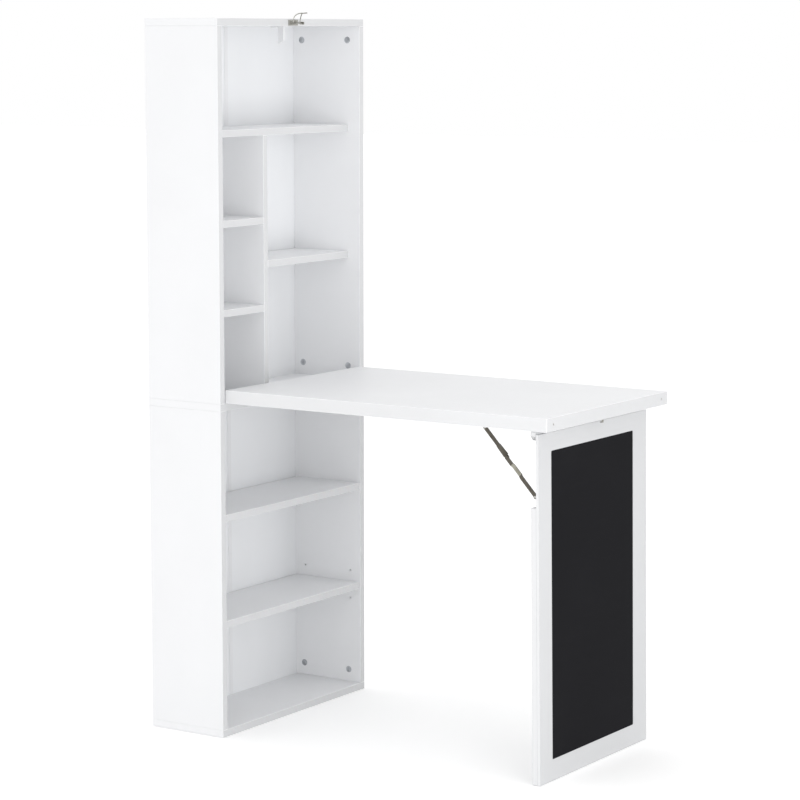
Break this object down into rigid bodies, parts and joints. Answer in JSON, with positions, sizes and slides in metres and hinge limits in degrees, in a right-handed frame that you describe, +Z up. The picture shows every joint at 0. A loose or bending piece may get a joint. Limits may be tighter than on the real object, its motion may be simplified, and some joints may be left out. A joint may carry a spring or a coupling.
{
  "type": "secretary desk",
  "caption": "Narrow white bookcase in stacked carcasses with a fold-down desk flap, a hinged chalkboard leg panel, folding stays and a toggle latch.",
  "frame": {"origin": "on the floor, at the middle of the bookcase's front plane", "axes": "+Z up, +Y from the front of the bookcase to its back, so the open desk reaches towards -Y, +X to the right seen from the front"},
  "size_m": [0.54, 0.9782, 1.5432],
  "materials": {
    "white_board": "white melamine-faced chipboard, fine matte texture, white edge band",
    "back_panel": "thin hardboard with a smooth white foil face",
    "white_plastic": "moulded white plastic",
    "beech": "plain beech",
    "chalkboard": "matte near-black chalkboard coating with faint wiped chalk",
    "zinc": "die-cast zinc",
    "bright_steel": "zinc-plated steel",
    "stay_steel": "stamped steel, slightly yellowed plating",
    "nickel_steel": "nickel-plated steel"
  },
  "bodies": {
    "cabinet": {"bottom_board": "white_board", "lower_left_side": "white_board", "lower_right_side": "white_board", "middle_board": "white_board", "upper_left_side": "white_board", "upper_right_side": "white_board", "top_board": "white_board", "fixed_shelf": "white_board", "adjustable_shelf": "white_board", "shelf_pins": "bright_steel", "upper_shelf": "white_board", "divider": "white_board", "left_shelf_upper": "white_board", "left_shelf_lower": "white_board", "right_shelf": "white_board", "lower_back_left": "back_panel", "lower_back_right": "back_panel", "lower_back_joiner": "white_plastic", "upper_back_left": "back_panel", "upper_back_right": "back_panel", "upper_back_joiner": "white_plastic", "cam_locks": "zinc", "cam_bolts": "bright_steel", "dowels": "beech", "divider_screws": "bright_steel", "flap_stop": "white_plastic", "desk_hinge_board_leaves": "bright_steel", "desk_hinge_pins": "bright_steel", "latch_base": "nickel_steel", "latch_pin": "bright_steel", "cabinet_screws": "bright_steel"},
    "desk": {"desk_panel": "white_board", "desk_hinge_desk_leaves": "bright_steel", "leg_hinge_desk_leaves": "bright_steel", "leg_hinge_pins": "bright_steel", "stay_desk_brackets": "stay_steel", "stay_desk_rivets": "bright_steel", "latch_keeper": "nickel_steel", "desk_screws": "bright_steel", "desk_end_screws": "bright_steel"},
    "leg": {"leg_panel": "white_board", "chalkboard": "chalkboard", "leg_top_rail": "white_board", "leg_batten_left": "white_board", "leg_batten_right": "white_board", "leg_foot_rail": "white_board", "leg_hinge_leg_leaves": "bright_steel", "stay_leg_brackets": "stay_steel", "stay_leg_rivets": "bright_steel", "leg_hinge_screws": "bright_steel", "leg_bracket_screws": "bright_steel"},
    "stay_upper": {"stay_upper_arms": "stay_steel"},
    "stay_lower": {"stay_lower_arms": "stay_steel"},
    "sleeve_left": {"stay_sleeve_left": "stay_steel"},
    "sleeve_right": {"stay_sleeve_right": "stay_steel"},
    "latch_lever": {"latch_lever": "nickel_steel"},
    "latch_bail": {"latch_bail": "nickel_steel"}
  },
  "joints": [
    {"name": "desk_fold", "type": "hinge", "parent": "cabinet", "child": "desk", "pos_m": [0, 0.00175, 0.72375], "axis": [-1, 0, 0], "range_deg": [0, 90]},
    {"name": "leg_fold", "type": "hinge", "parent": "desk", "child": "leg", "pos_m": [0, -0.73095, 0.72055], "axis": [1, 0, 0], "range_deg": [0, 90.8]},
    {"name": "stay_upper_fold", "type": "hinge", "parent": "desk", "child": "stay_upper", "pos_m": [0, -0.61895, 0.716], "axis": [-1, 0, 0], "range_deg": [0, 45.92]},
    {"name": "stay_lower_fold", "type": "hinge", "parent": "leg", "child": "stay_lower", "pos_m": [0, -0.74058, 0.58567], "axis": [1, 0, 0], "range_deg": [0, 41.3]},
    {"name": "sleeve_left_slide", "type": "slide", "parent": "stay_upper", "child": "sleeve_left", "axis": [0, 0.6823, 0.7311], "range_m": [0, 0.025]},
    {"name": "sleeve_right_slide", "type": "slide", "parent": "stay_upper", "child": "sleeve_right", "axis": [0, 0.6823, 0.7311], "range_m": [0, 0.025]},
    {"name": "latch_lever_turn", "type": "hinge", "parent": "cabinet", "child": "latch_lever", "pos_m": [0, -0.004, 1.521], "axis": [-1, 0, 0], "range_deg": [0, 70]},
    {"name": "latch_bail_turn", "type": "hinge", "parent": "latch_lever", "child": "latch_bail", "pos_m": [0, -0.01, 1.521], "axis": [1, 0, 0], "range_deg": [0, 200.2]}
  ],
  "couplings": [
    {"joint": "stay_upper_fold", "follows": "leg_fold", "ratio": 0.5052},
    {"joint": "stay_lower_fold", "follows": "leg_fold", "ratio": 0.45434},
    {"joint": "latch_bail_turn", "follows": "latch_lever_turn", "ratio": 2.8571}
  ]
}
